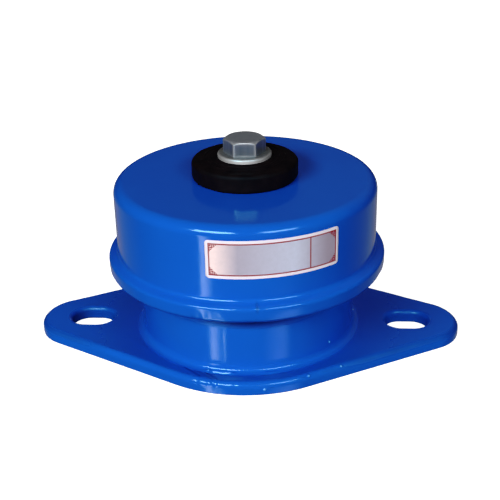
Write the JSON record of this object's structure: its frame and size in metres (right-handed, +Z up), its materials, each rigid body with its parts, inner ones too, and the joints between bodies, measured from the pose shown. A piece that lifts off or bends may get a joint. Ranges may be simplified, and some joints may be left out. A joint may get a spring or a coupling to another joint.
{
  "type": "spring vibration isolator",
  "caption": "Housed coil-spring vibration isolator: round blue pressed housing on a slotted lozenge base plate, with a rubber pad, washer and hex bolt on top.",
  "frame": {"origin": "on the spring's axis, on the underside of the base plate", "axes": "+Z up along the spring's axis, +X along the base plate's long side through both slots, -Y towards the front"},
  "size_m": [0.226, 0.144, 0.11],
  "materials": {
    "blue_paint": "gloss",
    "black_rubber": "matte",
    "zinc_plate": "satin",
    "plain_steel": "satin",
    "spring_steel": "satin",
    "label_film": "satin"
  },
  "bodies": {
    "base": {"base_plate": "blue_paint", "lower_housing": "blue_paint", "housing_weld": "blue_paint", "lower_spring_seat": "black_rubber", "main_spring": "spring_steel", "guide_ring": "black_rubber"},
    "upper": {"upper_housing": "blue_paint", "retaining_ring": "plain_steel", "rebound_buffer": "black_rubber", "upper_spring_seat": "black_rubber", "captive_nut": "plain_steel", "top_pad": "black_rubber", "flat_washer": "zinc_plate", "fixing_bolt": "zinc_plate", "blank_label": "label_film"}
  },
  "joints": [
    {"name": "spring_travel", "type": "slide", "parent": "base", "child": "upper", "axis": [0, 0, 1], "range_m": [-0.018, 0], "stiffness_N_per_m": 108600, "springref_m": 0.0002, "deforming": ["main_spring"]}
  ]
}
